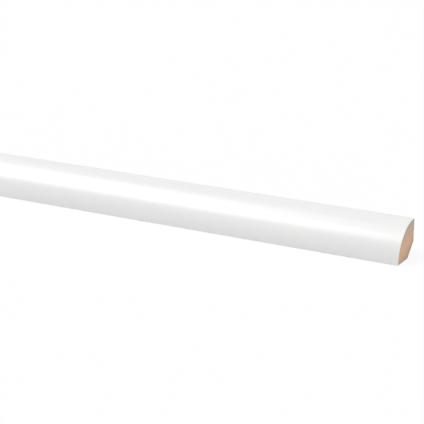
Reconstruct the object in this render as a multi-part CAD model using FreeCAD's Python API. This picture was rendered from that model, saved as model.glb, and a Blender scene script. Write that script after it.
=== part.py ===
import FreeCAD, Part
import math
import os

# Quarter round moulding: one straight bar of trim that covers the joint between a floor and a wall.
# X runs along the bar, the floor leg lies on Z = 0, the wall leg faces +Y, and the round face
# looks towards -Y and +Z. The origin is at the middle of the footprint. Sizes in millimetres.

LENGTH = 2400.0      # one sales length, sawn square at both ends
FACE_RADIUS = 14.0   # of the round face, and so the reach of the floor leg and of the wall leg
HEEL_CHAMFER = 5.5   # cut off each leg at the hidden back corner, so that it clears an uneven joint
TOE_RADIUS = 0.3     # soft edge where the round face meets each leg


def quarter_bar(heel):
    """Extrude a quarter disc along X, with its square corner on the heel line."""
    front_toe = heel + FreeCAD.Vector(0, -FACE_RADIUS, 0)
    top_toe = heel + FreeCAD.Vector(0, 0, FACE_RADIUS)
    face_slope = FACE_RADIUS * math.sqrt(0.5)
    face_middle = heel + FreeCAD.Vector(0, -face_slope, face_slope)
    outline = [
        Part.LineSegment(front_toe, heel),
        Part.LineSegment(heel, top_toe),
        Part.Arc(top_toe, face_middle, front_toe),
    ]
    section = Part.Face(Part.Wire([side.toShape() for side in outline]))
    return section.extrude(FreeCAD.Vector(LENGTH, 0, 0))


def long_edge(bar, offset_y, offset_z, heel):
    """Find the edge that runs the length of the bar at this offset from the heel line."""
    middle = heel + FreeCAD.Vector(LENGTH / 2, offset_y, offset_z)
    return min(bar.Edges, key=lambda edge: edge.distToShape(Part.Vertex(middle))[0])


def quarter_round():
    """Make the finished bar: a quarter disc with its heel cut off and its two toes softened."""
    heel = FreeCAD.Vector(-LENGTH / 2, FACE_RADIUS / 2, 0)
    bar = quarter_bar(heel)
    bar = bar.makeChamfer(HEEL_CHAMFER, [long_edge(bar, 0, 0, heel)])
    toes = [
        long_edge(bar, -FACE_RADIUS, 0, heel),
        long_edge(bar, 0, FACE_RADIUS, heel),
    ]
    return bar.makeFillet(TOE_RADIUS, toes)


os.makedirs("parts", exist_ok=True)
quarter_round().exportStep("parts/quarter_round.step")
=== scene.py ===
import math
from collections import namedtuple

import bmesh
import bpy
from mathutils import Matrix, Vector, noise


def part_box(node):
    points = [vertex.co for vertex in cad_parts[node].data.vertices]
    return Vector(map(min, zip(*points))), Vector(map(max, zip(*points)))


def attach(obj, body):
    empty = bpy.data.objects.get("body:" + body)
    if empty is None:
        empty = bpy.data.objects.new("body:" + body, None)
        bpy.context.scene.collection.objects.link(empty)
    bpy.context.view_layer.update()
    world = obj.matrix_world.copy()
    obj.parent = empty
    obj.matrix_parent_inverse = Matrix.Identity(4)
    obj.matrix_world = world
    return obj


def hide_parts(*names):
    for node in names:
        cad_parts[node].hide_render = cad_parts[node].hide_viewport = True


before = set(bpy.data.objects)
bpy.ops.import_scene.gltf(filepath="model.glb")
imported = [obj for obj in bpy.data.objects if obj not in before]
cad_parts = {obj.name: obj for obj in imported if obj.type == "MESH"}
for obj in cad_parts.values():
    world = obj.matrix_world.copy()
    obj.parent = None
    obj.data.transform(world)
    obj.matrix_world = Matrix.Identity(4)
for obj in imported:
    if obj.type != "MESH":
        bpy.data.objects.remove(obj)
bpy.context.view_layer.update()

# A quarter round moulding of fibreboard in a white foil, lying on its floor leg.
# Everything is in metres, in the frame of the solids: X along the bar, the wall leg at +Y.

SectionPoint = namedtuple("SectionPoint", "ahead up inward foil strays", defaults=(True, False))
Grain = namedtuple("Grain", "along across upward detail roughness", defaults=(2.0, 0.5))
Tint = namedtuple("Tint", "limits shares colour")
Softbox = namedtuple("Softbox", "name spot aim right size watts")

MM = 0.001
NODE = "quarter_round"
LOW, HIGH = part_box(NODE)
ALONG = Vector((1.0, 0.0, 0.0))
ACROSS = Vector((0.0, 1.0, 0.0))
UP = Vector((0.0, 0.0, 1.0))
FOIL, END, BACK = range(3)     # the moulding's materials

# The section, measured from the heel line where the planes of the two legs meet
TOUCHING = 0.001 * MM          # what is this near the floor lies on it
FLOOR_YS = [v.co.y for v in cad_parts[NODE].data.vertices if v.co.z < LOW.z + TOUCHING]
REACH = HIGH.y - LOW.y         # of each leg, with its rounded toe
HEEL_CHAMFER = HIGH.y - max(FLOOR_YS)
TOE_RADIUS = min(FLOOR_YS) - LOW.y
FACE_RADIUS = TOE_RADIUS + math.hypot(TOE_RADIUS, REACH - TOE_RADIUS)
HEEL_EDGE = 0.25 * MM          # worn off on both sides of each edge of the chamfer
SLOPE = math.sqrt(0.5)         # of the chamfer: its run along each leg for a step of 1

# The foil over the round face, which laps onto both legs
FOIL_THICKNESS = 0.2 * MM
LAP_WIDTH = 4.5 * MM
LAP_STEP_RUN = 0.1 * MM        # width of the step from the foil down to the board
LAP_STRAY = 0.25 * MM          # how far the cut edge of the foil strays from a straight line
LAP_WAVE = 90 * MM             # over about this length
FLOOR_LAP_SEED = 3.7
WALL_LAP_SEED = 9.1

# The sawn ends
EDGE_BREAK = 0.05 * MM
BOARD_LIP = 0.1 * MM           # clean edge of the bare board, before the fuzz of the saw
CORE_RECESS = 0.03 * MM
SAW_FUZZ = 0.05 * MM
FUZZ_PER_MM = 1.6
FUZZ_FRACTAL = (0.7, 2.0, 3)   # how soon the finer waves fade, the step between them and their count
RAGGED_RIM = 0.08 * MM         # most that the foil's inner edge is torn inwards
RAGGED_GRAIN = 0.7 * MM

# Mesh density
ARC_STEPS = 44
TOE_STEPS = 8
LAP_STEPS = 10
LEG_STEPS = 8
CHAMFER_STEPS = 8
END_RINGS = 26
STRIPS = 7
STEPS_PER_STRIP = 24
SHARP_EDGE = math.radians(40)

# The bake map: strips of the bar one above the other, with the two ends in a column at the right
END_COLUMN = 0.15
MAP_GAP = 0.004

# Textures. A grain is in counts to a millimetre along X, Y and Z.
# A tint is blended in by a share that runs from one value to another between two limits.
MOST_NOISE = (0.3, 0.7)        # where most values of a noise from 0 to 1 lie
WIDE_NOISE = (0.2, 0.8)        # where nearly all of them lie

# The foil's look
FOIL_COLOUR = (0.85, 0.85, 0.845, 1.0)
FOIL_ROUGHNESS = (0.28, 0.34)
CLOUD_GRAIN = Grain(0.02, 0.12, 0.12, detail=3.0)
CLOUD_TINT = Tint(MOST_NOISE, (0.0, 1.0), (0.87, 0.87, 0.866, 1.0))
CLOUD_ROUGHNESS = (-0.02, 0.02)
SPECK_GRAIN = Grain(1.1, 2.2, 2.2, detail=3.0)
SPECK_TINT = Tint((0.62, 0.8), (0.0, 0.35), (0.80, 0.79, 0.775, 1.0))
PEEL_GRAIN = Grain(0.7, 0.9, 0.9)
PEEL_DEPTH = 0.003 * MM
DRAW_LINE_GRAIN = Grain(0.006, 1.6, 1.6)
DRAW_LINE_DEPTH = 0.0015 * MM

# The look of the board, sawn or milled
BOARD_COLOUR = (0.64, 0.455, 0.305, 1.0)
LAYER_TINT = Tint(MOST_NOISE, (0.0, 1.0), (0.715, 0.46, 0.32, 1.0))
DARK_FIBRE_TINT = Tint((0.5, 0.75), (0.0, 0.5), (0.42, 0.27, 0.165, 1.0))
PALE_FIBRE_TINT = Tint((0.22, 0.42), (0.5, 0.0), (0.83, 0.66, 0.5, 1.0))

# The look of the sawn board, whose heights are shares of the face's radius
SAWN_ROUGHNESS = (0.78, 0.9)
SAWN_FIBRE_GRAIN = Grain(1.0, 2.6, 3.4, detail=4.0, roughness=0.6)
SAWN_FIBRE_DEPTH = 0.06 * MM
SAWN_LAYER_GRAIN = Grain(0.2, 0.12, 0.45)
MOTTLE_GRAIN = Grain(0.5, 0.7, 0.9)
MOTTLE_TINT = Tint((0.45, 0.7), (0.0, 0.35), (0.52, 0.36, 0.24, 1.0))
HEIGHT_BLUR = (-0.12, 0.12)
CORE_HEIGHT = 0.52
CORE_TINT = Tint((0.0, 0.3), (0.5, 0.0), (0.74, 0.43, 0.29, 1.0))
TOP_TINT = Tint((0.4, 1.0), (0.0, 0.8), (0.43, 0.39, 0.345, 1.0))
HEEL_TINT = Tint((1.2 * MM, 4.4 * MM), (0.4, 0.0), (0.445, 0.30, 0.195, 1.0))
RIM_COLOUR = (0.325, 0.26, 0.205, 1.0)
RIM_BLUR = (-0.3 * MM, 0.3 * MM)
SIDE_RIM = (0.15 * MM, 1.1 * MM), (0.5, 0.0)     # depths inside the milled sides, and shares there
FACE_RIM = (0.3 * MM, 0.8 * MM), (0.45, 0.0)     # the same inside the round face
BLADE_CENTRE_MM = (0.0, -70.0, 95.0)
BLADE_MARK_MM = 0.9            # from one arc of the blade to the next
BLADE_MARK_DEPTH = 0.01 * MM

# The look of the milled board
MILLED_ROUGHNESS = (0.68, 0.8)
MILLED_FIBRE_GRAIN = Grain(0.6, 1.8, 1.8, detail=4.0, roughness=0.6)
MILLED_FIBRE_DEPTH = 0.02 * MM
MILLED_LAYER_GRAIN = Grain(0.01, 0.25, 0.45)
CUTTER_LINE_GRAIN = Grain(0.004, 2.4, 2.4)
CUTTER_LINE_TINT = Tint((0.35, 0.75), (0.0, 0.25), (0.50, 0.34, 0.22, 1.0))
CUTTER_LINE_DEPTH = 0.02 * MM

# The photograph's view: angles, focal length and where the near front corner stands before the lens
VIEW_AZIMUTH = math.radians(29.78)
VIEW_ELEVATION = math.radians(17.0)
PHOTO_PIXELS = 424
FOCAL_PIXELS = 1463.9
NEAR_CORNER = Vector((HIGH.x, LOW.y, LOW.z))
NEAR_CORNER_SEEN = Vector((65.21, -19.0, -513.84)) * MM

# Floor and light: the softboxes stand far off, so that they light the whole bar evenly
PLAIN_WHITE = (1.0, 1.0, 1.0, 1.0)
FLOOR_HALF = 12.0
FLOOR_GREY = 0.72              # how much light the floor sends back up
FLOOR_GLOW = 0.9               # share of plain white in what the eye sees of the floor
WORLD_LEVEL = 0.38
KEY_X = -13.3
OVERHEAD_X = -16.8
SOFTBOXES = [
    Softbox(
        "key", spot=Vector((KEY_X, -10.42, 19.38)), aim=KEY_X * ALONG,
        right=ALONG, size=(13.0, 7.2), watts=1620.0,
    ),
    Softbox(
        "overhead", spot=Vector((OVERHEAD_X, -6.82, 23.01)), aim=OVERHEAD_X * ALONG,
        right=ALONG, size=(14.2, 21.9), watts=4870.0,
    ),
    Softbox(
        "fill", spot=Vector((29.2, -2.94, 9.0)), aim=NEAR_CORNER,
        right=ACROSS, size=(20.0, 18.0), watts=3480.0,
    ),
]


def between(start, end, count):
    """Evenly spaced values after start, the last of them at end."""
    return [start + (step + 1) / count * (end - start) for step in range(count)]


def arc_points(centre_ahead, centre_up, radius, turns):
    """Points of the foil on an arc, at these angles above the floor."""
    points = []
    for turn in turns:
        ahead, up = math.cos(turn), math.sin(turn)
        spot = centre_ahead + radius * ahead, centre_up + radius * up
        points.append(SectionPoint(*spot, inward=(-ahead, -up)))
    return points


def face_and_toe():
    """Foil from the middle of the round face down round the front toe."""
    face_middle = math.radians(45)
    toe_start = math.asin(TOE_RADIUS / (FACE_RADIUS - TOE_RADIUS))
    toe_end = math.radians(-90)
    face = arc_points(0.0, 0.0, FACE_RADIUS, [face_middle] + between(face_middle, toe_start, ARC_STEPS))
    toe = arc_points(REACH - TOE_RADIUS, TOE_RADIUS, TOE_RADIUS, between(toe_start, toe_end, TOE_STEPS))
    return face + toe


def lap_and_leg():
    """The lap of the foil under the floor leg, the step at its cut edge, and the bare leg."""
    upward = (0.0, 1.0)
    lap_end = FACE_RADIUS - LAP_WIDTH
    leg_start = lap_end - LAP_STEP_RUN
    leg_end = HEEL_CHAMFER - FOIL_THICKNESS + HEEL_EDGE
    lap = [SectionPoint(ahead, 0.0, upward) for ahead in between(REACH - TOE_RADIUS, lap_end, LAP_STEPS)]
    leg = [
        SectionPoint(ahead, FOIL_THICKNESS, upward, foil=False)
        for ahead in [leg_start] + between(leg_start, leg_end, LEG_STEPS)
    ]
    lap[-1] = lap[-1]._replace(strays=True)
    leg[0] = leg[0]._replace(strays=True)
    return lap + leg


def half_heel():
    """Bare board from the worn edge of the chamfer to its middle."""
    start = HEEL_CHAMFER - FOIL_THICKNESS - HEEL_EDGE * SLOPE
    return [
        SectionPoint(ahead, HEEL_CHAMFER - ahead, (SLOPE, SLOPE), foil=False)
        for ahead in [start] + between(start, HEEL_CHAMFER / 2, CHAMFER_STEPS)
    ]


def mirrored(point):
    """The same point on the wall half of the section."""
    return point._replace(ahead=point.up, up=point.ahead, inward=point.inward[::-1])


def whole_section():
    """The closed section: the floor half, then its mirror image on the wall side, back to the start."""
    floor_half = face_and_toe() + lap_and_leg() + half_heel()
    wall_half = [mirrored(point) for point in floor_half[1:-1]]
    return floor_half + wall_half[::-1]


def place(x, ahead, up):
    """A point of the section at x along the bar, in the frame."""
    return Vector((x, HIGH.y - ahead, LOW.z + up))


def lap_stray(x, seed):
    """How far a cut edge of the foil strays at x along the bar."""
    return LAP_STRAY * noise.noise(Vector((x / LAP_WAVE, seed, 0.0)))


def outline_at(section, x):
    """The section's points at x along the bar, where the cut edges of the foil stray a little."""
    outline = []
    for point in section:
        ahead, up = point.ahead, point.up
        if point.strays and ahead > up:
            ahead += lap_stray(x, FLOOR_LAP_SEED)
        elif point.strays:
            up += lap_stray(x, WALL_LAP_SEED)
        outline.append((ahead, up))
    return outline


def bar_rings(mesh, section):
    """Rings of vertices round the bar, from just inside its left end to just inside its right end."""
    start = LOW.x + EDGE_BREAK
    run = HIGH.x - EDGE_BREAK - start
    stations = STRIPS * STEPS_PER_STRIP
    rings = []
    for station in range(stations + 1):
        x = start + run * station / stations
        rings.append([mesh.verts.new(place(x, *spot)) for spot in outline_at(section, x)])
    return rings


def inside(point, spot, depth):
    """The place at this depth inside a point of the outline."""
    return spot[0] + depth * point.inward[0], spot[1] + depth * point.inward[1]


def clean_width(point, spot, end_x):
    """Width of the clean edge of an end: the foil with its torn inner edge, or the lip of the board."""
    if not point.foil:
        return BOARD_LIP
    tear = noise.noise(Vector((*spot, end_x)) / RAGGED_GRAIN)
    return FOIL_THICKNESS + RAGGED_RIM * max(0.0, tear)


def sawn_vertex(mesh, end_x, outward, ahead, up):
    """A vertex on the fuzzy sawn face of the board at an end."""
    waves = noise.fractal(Vector((ahead, up, end_x)) * (FUZZ_PER_MM / MM), *FUZZ_FRACTAL)
    depth = CORE_RECESS + SAW_FUZZ * (1.0 + waves) / 2
    return mesh.verts.new(place(end_x - outward * depth, ahead, up))


def end_rings(mesh, section, outward):
    """Rings from the rim of a sawn end in to its middle, and the middle vertex itself."""
    end_x = HIGH.x if outward > 0 else LOW.x
    outline = outline_at(section, end_x)
    middle_ahead = sum(ahead for ahead, _ in outline) / len(outline)
    middle_up = sum(up for _, up in outline) / len(outline)
    rim, core = [], []
    for point, spot in zip(section, outline):
        rim.append(inside(point, spot, EDGE_BREAK))
        core.append(inside(point, spot, clean_width(point, spot, end_x)))
    rings = [[mesh.verts.new(place(end_x, *spot)) for spot in spots] for spots in (rim, core)]
    for ring in range(1, END_RINGS):
        share = ring / END_RINGS
        row = []
        for ahead, up in core:
            ahead += share * (middle_ahead - ahead)
            up += share * (middle_up - up)
            row.append(sawn_vertex(mesh, end_x, outward, ahead, up))
        rings.append(row)
    return rings, sawn_vertex(mesh, end_x, outward, middle_ahead, middle_up)


def girth_shares(section):
    """How far round the section each point lies, from 0 up to 1 back at the first point."""
    lengths = [0.0]
    for here, after in zip(section, section[1:] + section[:1]):
        lengths.append(lengths[-1] + math.hypot(after.ahead - here.ahead, after.up - here.up))
    return [length / lengths[-1] for length in lengths]


def strip_row(strip, step, around):
    """Bake map places of one ring of the bar, as the given step of a strip."""
    u = MAP_GAP + step / STEPS_PER_STRIP * (1.0 - END_COLUMN - 2 * MAP_GAP)
    height = 1.0 / STRIPS
    return [(u, strip * height + MAP_GAP + share * (height - 2 * MAP_GAP)) for share in around]


def end_place(spot, base_v):
    """Bake map place of a point of an end whose square starts at base_v."""
    scale = (END_COLUMN - 2 * MAP_GAP) / FACE_RADIUS
    u = 1.0 - END_COLUMN + MAP_GAP + (HIGH.y - spot.y) * scale
    return u, base_v + MAP_GAP + (spot.z - LOW.z) * scale


def add_face(mesh, uv_layer, corners, places, material):
    """One smooth face with its material and its places on the bake map."""
    face = mesh.faces.new(corners)
    face.material_index = material
    face.smooth = True
    for loop, spot in zip(face.loops, places):
        loop[uv_layer].uv = spot


def bridge(mesh, uv_layer, rings, rows, materials):
    """A band of quads between two rings. Each row of map places has one more, to close the ring."""
    first, second = rings
    for here in range(len(first)):
        after = (here + 1) % len(first)
        corners = first[here], first[after], second[after], second[here]
        places = rows[0][here], rows[0][here + 1], rows[1][here + 1], rows[1][here]
        add_face(mesh, uv_layer, corners, places, materials[here])


def close_end(mesh, uv_layer, section, outward, edge_ring, side_materials, base_v):
    """Fill one end: the broken edge, the edge of the foil, and the sawn board."""
    inner_rings, middle = end_rings(mesh, section, outward)
    rings = [edge_ring] + inner_rings
    rows = [[end_place(vertex.co, base_v) for vertex in ring + ring[:1]] for ring in rings]
    rim_materials = [FOIL if point.foil else END for point in section]
    board_materials = [END] * len(section)
    bands = [side_materials, rim_materials] + [board_materials] * (END_RINGS - 1)
    for band, materials in enumerate(bands):
        bridge(mesh, uv_layer, rings[band:band + 2], rows[band:band + 2], materials)
    last = rings[-1]
    for here in range(len(last)):
        corners = last[here], last[(here + 1) % len(last)], middle
        add_face(mesh, uv_layer, corners, [end_place(v.co, base_v) for v in corners], END)


def build_mesh():
    """The whole moulding as one closed mesh: foil, bare back and two sawn ends."""
    section = whole_section()
    following = section[1:] + section[:1]
    side_materials = [FOIL if p.foil and q.foil else BACK for p, q in zip(section, following)]
    around = girth_shares(section)
    mesh = bmesh.new()
    uv_layer = mesh.loops.layers.uv.new("OFBake")
    rings = bar_rings(mesh, section)
    for station in range(len(rings) - 1):
        strip, step = divmod(station, STEPS_PER_STRIP)
        rows = strip_row(strip, step, around), strip_row(strip, step + 1, around)
        bridge(mesh, uv_layer, rings[station:station + 2], rows, side_materials)
    close_end(mesh, uv_layer, section, -1, rings[0], side_materials, base_v=0.0)
    close_end(mesh, uv_layer, section, 1, rings[-1], side_materials, base_v=END_COLUMN)
    bmesh.ops.recalc_face_normals(mesh, faces=mesh.faces)
    data = bpy.data.meshes.new("moulding")
    mesh.to_mesh(data)
    mesh.free()
    data.set_sharp_from_angle(angle=SHARP_EDGE)
    return data


class Nodes:
    """Short ways to add and join the nodes of a material or a world."""

    def __init__(self, owner):
        owner.use_nodes = True
        self.tree = owner.node_tree

    def add(self, kind):
        """A new node of this kind."""
        return self.tree.nodes.new(kind)

    def join(self, source, target):
        """Link a socket, or set a plain value."""
        if isinstance(source, bpy.types.NodeSocket):
            self.tree.links.new(source, target)
        else:
            target.default_value = source

    def math(self, operation, first, second=0.0):
        """Join one or two values by an operation."""
        node = self.add("ShaderNodeMath")
        node.operation = operation
        self.join(first, node.inputs[0])
        self.join(second, node.inputs[1])
        return node.outputs["Value"]

    def ramp(self, value, limits, results):
        """Map the range between two limits smoothly to the range between two results, and no further."""
        node = self.add("ShaderNodeMapRange")
        node.interpolation_type = "SMOOTHSTEP"
        self.join(value, node.inputs["Value"])
        node.inputs["From Min"].default_value, node.inputs["From Max"].default_value = limits
        node.inputs["To Min"].default_value, node.inputs["To Max"].default_value = results
        return node.outputs["Result"]

    def seen_by_eye(self):
        """1 for rays from the camera, a reflection or glass, and 0 for rays that only carry light."""
        rays = self.add("ShaderNodeLightPath").outputs
        seen = self.math("MAXIMUM", rays["Is Camera Ray"], rays["Is Glossy Ray"])
        return self.math("MAXIMUM", seen, rays["Is Transmission Ray"])


class Surface(Nodes):
    """The nodes of one of the moulding's materials, laid out by object coordinates."""

    def __init__(self, name):
        self.material = bpy.data.materials.new(name)
        super().__init__(self.material)
        self.coordinates = self.add("ShaderNodeTexCoord").outputs["Object"]

    def scaled(self, along, across, upward):
        """Object coordinates in millimetres, times a factor each for X, Y and Z."""
        mapping = self.add("ShaderNodeMapping")
        mapping.inputs["Scale"].default_value = (along / MM, across / MM, upward / MM)
        self.join(self.coordinates, mapping.inputs["Vector"])
        return mapping.outputs["Vector"]

    def axis(self, name):
        """One object coordinate, in metres."""
        node = self.add("ShaderNodeSeparateXYZ")
        self.join(self.coordinates, node.inputs["Vector"])
        return node.outputs[name]

    def distance(self, vector, centre):
        """How far the vector lies from a fixed centre."""
        node = self.add("ShaderNodeVectorMath")
        node.operation = "DISTANCE"
        self.join(vector, node.inputs[0])
        node.inputs[1].default_value = centre
        return node.outputs["Value"]

    def noise(self, grain):
        """Noise from 0 to 1 with this grain."""
        texture = self.add("ShaderNodeTexNoise")
        texture.inputs["Scale"].default_value = 1.0
        texture.inputs["Detail"].default_value = grain.detail
        texture.inputs["Roughness"].default_value = grain.roughness
        self.join(self.scaled(grain.along, grain.across, grain.upward), texture.inputs["Vector"])
        return texture.outputs["Fac"]

    def mix(self, share, first, second):
        """Blend two colours."""
        node = self.add("ShaderNodeMix")
        node.data_type = "RGBA"
        self.join(share, node.inputs["Factor"])
        self.join(first, node.inputs["A"])
        self.join(second, node.inputs["B"])
        return node.outputs["Result"]

    def tint(self, colour, value, tint):
        """Blend a tint into a colour, by shares that follow a value."""
        return self.mix(self.ramp(value, tint.limits, tint.shares), colour, tint.colour)

    def bump(self, height, depth, under=None):
        """A bump of this depth in metres for a height from 0 to 1, on top of another bump."""
        node = self.add("ShaderNodeBump")
        node.inputs["Strength"].default_value = 1.0
        node.inputs["Distance"].default_value = depth
        self.join(height, node.inputs["Height"])
        if under is not None:
            self.join(under, node.inputs["Normal"])
        return node.outputs["Normal"]

    def finish(self, colour, roughness, normal):
        """Give the shader its colour, roughness and bump."""
        shader = self.tree.nodes["Principled BSDF"]
        self.join(colour, shader.inputs["Base Color"])
        self.join(roughness, shader.inputs["Roughness"])
        self.join(normal, shader.inputs["Normal"])
        return self.material


def foil_material():
    """Satin white foil: faint clouds and specks, a fine orange peel, and draw lines along the bar."""
    foil = Surface("white_foil")
    clouds = foil.noise(CLOUD_GRAIN)
    specks = foil.noise(SPECK_GRAIN)
    lines = foil.noise(DRAW_LINE_GRAIN)
    colour = foil.tint(FOIL_COLOUR, clouds, CLOUD_TINT)
    colour = foil.tint(colour, specks, SPECK_TINT)
    line_roughness = foil.ramp(lines, WIDE_NOISE, FOIL_ROUGHNESS)
    roughness = foil.math("ADD", line_roughness, foil.ramp(clouds, MOST_NOISE, CLOUD_ROUGHNESS))
    normal = foil.bump(foil.noise(PEEL_GRAIN), PEEL_DEPTH)
    normal = foil.bump(lines, DRAW_LINE_DEPTH, normal)
    return foil.finish(colour, roughness, normal)


def board_colour(board, fibres, layers):
    """Tan fibreboard: dark and pale fibres over soft layers."""
    colour = board.tint(BOARD_COLOUR, layers, LAYER_TINT)
    colour = board.tint(colour, fibres, DARK_FIBRE_TINT)
    return board.tint(colour, fibres, PALE_FIBRE_TINT)


def end_depths(board):
    """How deep a point of an end lies inside the chamfer, the nearest milled side and the round face."""
    ahead = board.math("SUBTRACT", HIGH.y, board.axis("Y"))
    up = board.math("SUBTRACT", board.axis("Z"), LOW.z)
    past_heel = board.math("SUBTRACT", board.math("ADD", ahead, up), HEEL_CHAMFER)
    from_heel = board.math("MULTIPLY", past_heel, SLOPE)
    from_side = board.math("MINIMUM", board.math("MINIMUM", ahead, up), from_heel)
    squares = board.math("ADD", board.math("POWER", ahead, 2.0), board.math("POWER", up, 2.0))
    from_face = board.math("SUBTRACT", FACE_RADIUS, board.math("SQRT", squares))
    return from_heel, from_side, from_face


def blurred_height(board, fibres):
    """Height of a point as a share of the face's radius, blurred by the fibres."""
    up = board.math("SUBTRACT", board.axis("Z"), LOW.z)
    blur = board.ramp(fibres, MOST_NOISE, HEIGHT_BLUR)
    return board.math("ADD", board.math("DIVIDE", up, FACE_RADIUS), blur)


def rim_share(board, fibres, from_side, from_face):
    """How much of the darker rim shows, just inside the milled sides and the round face."""
    blur = board.ramp(fibres, MOST_NOISE, RIM_BLUR)
    side_rim = board.ramp(board.math("ADD", from_side, blur), *SIDE_RIM)
    face_rim = board.ramp(board.math("ADD", from_face, blur), *FACE_RIM)
    return board.math("MAXIMUM", side_rim, face_rim)


def blade_arcs(board, wobble):
    """Waves from -1 to 1 along the arcs that a circular blade leaves."""
    reach = board.distance(board.scaled(0, 1, 1), BLADE_CENTRE_MM)
    waves = board.math("MULTIPLY", reach, math.tau / BLADE_MARK_MM)
    return board.math("SINE", board.math("ADD", waves, board.math("MULTIPLY", wobble, math.tau)))


def end_material():
    """Sawn fibreboard with a warm core, a greyer top, a brown heel, a dark rim and arcs of the blade."""
    board = Surface("sawn_board")
    fibres = board.noise(SAWN_FIBRE_GRAIN)
    layers = board.noise(SAWN_LAYER_GRAIN)
    mottle = board.noise(MOTTLE_GRAIN)
    height = blurred_height(board, fibres)
    off_core = board.math("ABSOLUTE", board.math("SUBTRACT", height, CORE_HEIGHT))
    from_heel, from_side, from_face = end_depths(board)
    colour = board_colour(board, fibres, layers)
    colour = board.tint(colour, mottle, MOTTLE_TINT)
    colour = board.tint(colour, off_core, CORE_TINT)
    colour = board.tint(colour, height, TOP_TINT)
    colour = board.tint(colour, from_heel, HEEL_TINT)
    colour = board.mix(rim_share(board, fibres, from_side, from_face), colour, RIM_COLOUR)
    normal = board.bump(fibres, SAWN_FIBRE_DEPTH)
    normal = board.bump(blade_arcs(board, layers), BLADE_MARK_DEPTH, normal)
    return board.finish(colour, board.ramp(fibres, MOST_NOISE, SAWN_ROUGHNESS), normal)


def back_material():
    """Milled fibreboard on the hidden legs and heel, with cutter lines along the bar."""
    board = Surface("milled_board")
    fibres = board.noise(MILLED_FIBRE_GRAIN)
    layers = board.noise(MILLED_LAYER_GRAIN)
    lines = board.noise(CUTTER_LINE_GRAIN)
    colour = board_colour(board, fibres, layers)
    colour = board.tint(colour, lines, CUTTER_LINE_TINT)
    normal = board.bump(fibres, MILLED_FIBRE_DEPTH)
    normal = board.bump(lines, CUTTER_LINE_DEPTH, normal)
    return board.finish(colour, board.ramp(fibres, MOST_NOISE, MILLED_ROUGHNESS), normal)


def add_object(name, data):
    """A new object in the scene."""
    thing = bpy.data.objects.new(name, data)
    bpy.context.scene.collection.objects.link(thing)
    return thing


def make_moulding():
    """The dressed moulding, in place of its plain solid."""
    data = build_mesh()
    for material in (foil_material(), end_material(), back_material()):
        data.materials.append(material)
    moulding = add_object("wrapped_moulding", data)
    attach(moulding, "root")
    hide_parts(NODE)


def floor_material():
    """A pale matt floor, of which the eye sees mostly plain white."""
    material = bpy.data.materials.new("pale_floor")
    nodes = Nodes(material)
    eye = nodes.seen_by_eye()
    matt = nodes.add("ShaderNodeBsdfDiffuse")
    nodes.join(nodes.ramp(eye, (0.0, 1.0), (FLOOR_GREY, 1.0)), matt.inputs["Color"])
    glow = nodes.add("ShaderNodeEmission")
    mixed = nodes.add("ShaderNodeMixShader")
    nodes.join(nodes.math("MULTIPLY", eye, FLOOR_GLOW), mixed.inputs["Fac"])
    nodes.join(matt.outputs["BSDF"], mixed.inputs[1])
    nodes.join(glow.outputs["Emission"], mixed.inputs[2])
    nodes.join(mixed.outputs["Shader"], nodes.tree.nodes["Material Output"].inputs["Surface"])
    return material


def make_floor():
    """A wide floor that looks white and keeps the moulding's shadow."""
    data = bpy.data.meshes.new("floor")
    corners = [(x * FLOOR_HALF, y * FLOOR_HALF, LOW.z) for x, y in ((-1, -1), (1, -1), (1, 1), (-1, 1))]
    data.from_pydata(corners, [], [range(4)])
    data.materials.append(floor_material())
    floor = add_object("floor", data)


def make_world():
    """Even light from all round, behind which the eye sees plain white."""
    world = bpy.data.worlds.new("studio")
    nodes = Nodes(world)
    background = nodes.tree.nodes["Background"]
    background.inputs["Color"].default_value = PLAIN_WHITE
    level = nodes.ramp(nodes.seen_by_eye(), (0.0, 1.0), (WORLD_LEVEL, 1.0))
    nodes.join(level, background.inputs["Strength"])
    bpy.context.scene.world = world


def facing(back, right):
    """Axes of a lamp or camera that looks against back, with right on its right-hand side."""
    right = (right - right.project(back)).normalized()
    return Matrix((right, back.cross(right), back)).transposed()


def make_softbox(softbox):
    """A rectangular lamp at its spot, which shines at its aim."""
    light = bpy.data.lights.new(softbox.name, "AREA")
    light.shape = "RECTANGLE"
    light.size, light.size_y = softbox.size
    light.energy = softbox.watts
    lamp = add_object(softbox.name, light)
    turned = facing((softbox.spot - softbox.aim).normalized(), softbox.right)
    lamp.matrix_world = Matrix.Translation(softbox.spot) @ turned.to_4x4()


def make_camera():
    """The photograph's view of the near end."""
    level = Vector((math.sin(VIEW_AZIMUTH), -math.cos(VIEW_AZIMUTH), 0.0))
    right = Vector((math.cos(VIEW_AZIMUTH), math.sin(VIEW_AZIMUTH), 0.0))
    turned = facing(math.cos(VIEW_ELEVATION) * level + math.sin(VIEW_ELEVATION) * UP, right)
    lens = bpy.data.cameras.new("camera")
    lens.lens = lens.sensor_width * FOCAL_PIXELS / PHOTO_PIXELS
    camera = add_object("camera", lens)
    camera.matrix_world = Matrix.Translation(NEAR_CORNER - turned @ NEAR_CORNER_SEEN) @ turned.to_4x4()
    bpy.context.scene.camera = camera


make_moulding()
make_floor()
make_world()
for softbox in SOFTBOXES:
    make_softbox(softbox)
make_camera()
bpy.context.scene.view_settings.view_transform = "Standard"
